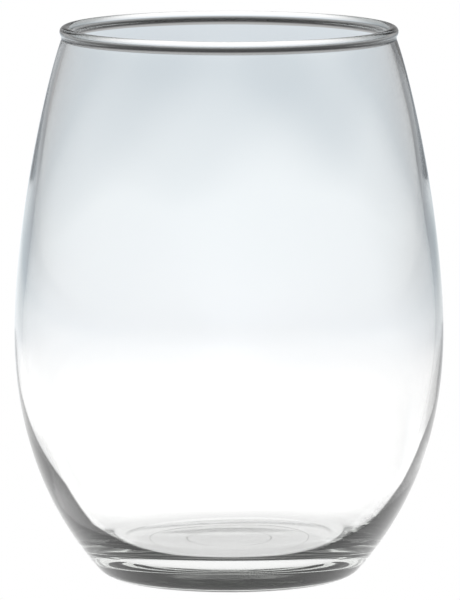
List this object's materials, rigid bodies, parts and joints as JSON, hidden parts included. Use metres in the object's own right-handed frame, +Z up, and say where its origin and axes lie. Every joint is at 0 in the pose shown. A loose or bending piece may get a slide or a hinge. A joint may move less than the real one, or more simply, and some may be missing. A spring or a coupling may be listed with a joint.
{
  "type": "stemless wine glass",
  "caption": "Clear stemless wine glass: a tapering rounded bowl with a beaded rim, walls that thicken towards a heavy base, and a flat foot ring.",
  "frame": {"origin": "centre of the foot, on the surface that the glass stands on", "axes": "+Z up along the glass's axis of revolution; +X and +Y are equivalent"},
  "size_m": [0.0888, 0.0888, 0.1143],
  "materials": {
    "clear_glass": "clear, fire-polished, gloss"
  },
  "bodies": {
    "root": {"glass": "clear_glass"}
  },
  "joints": []
}
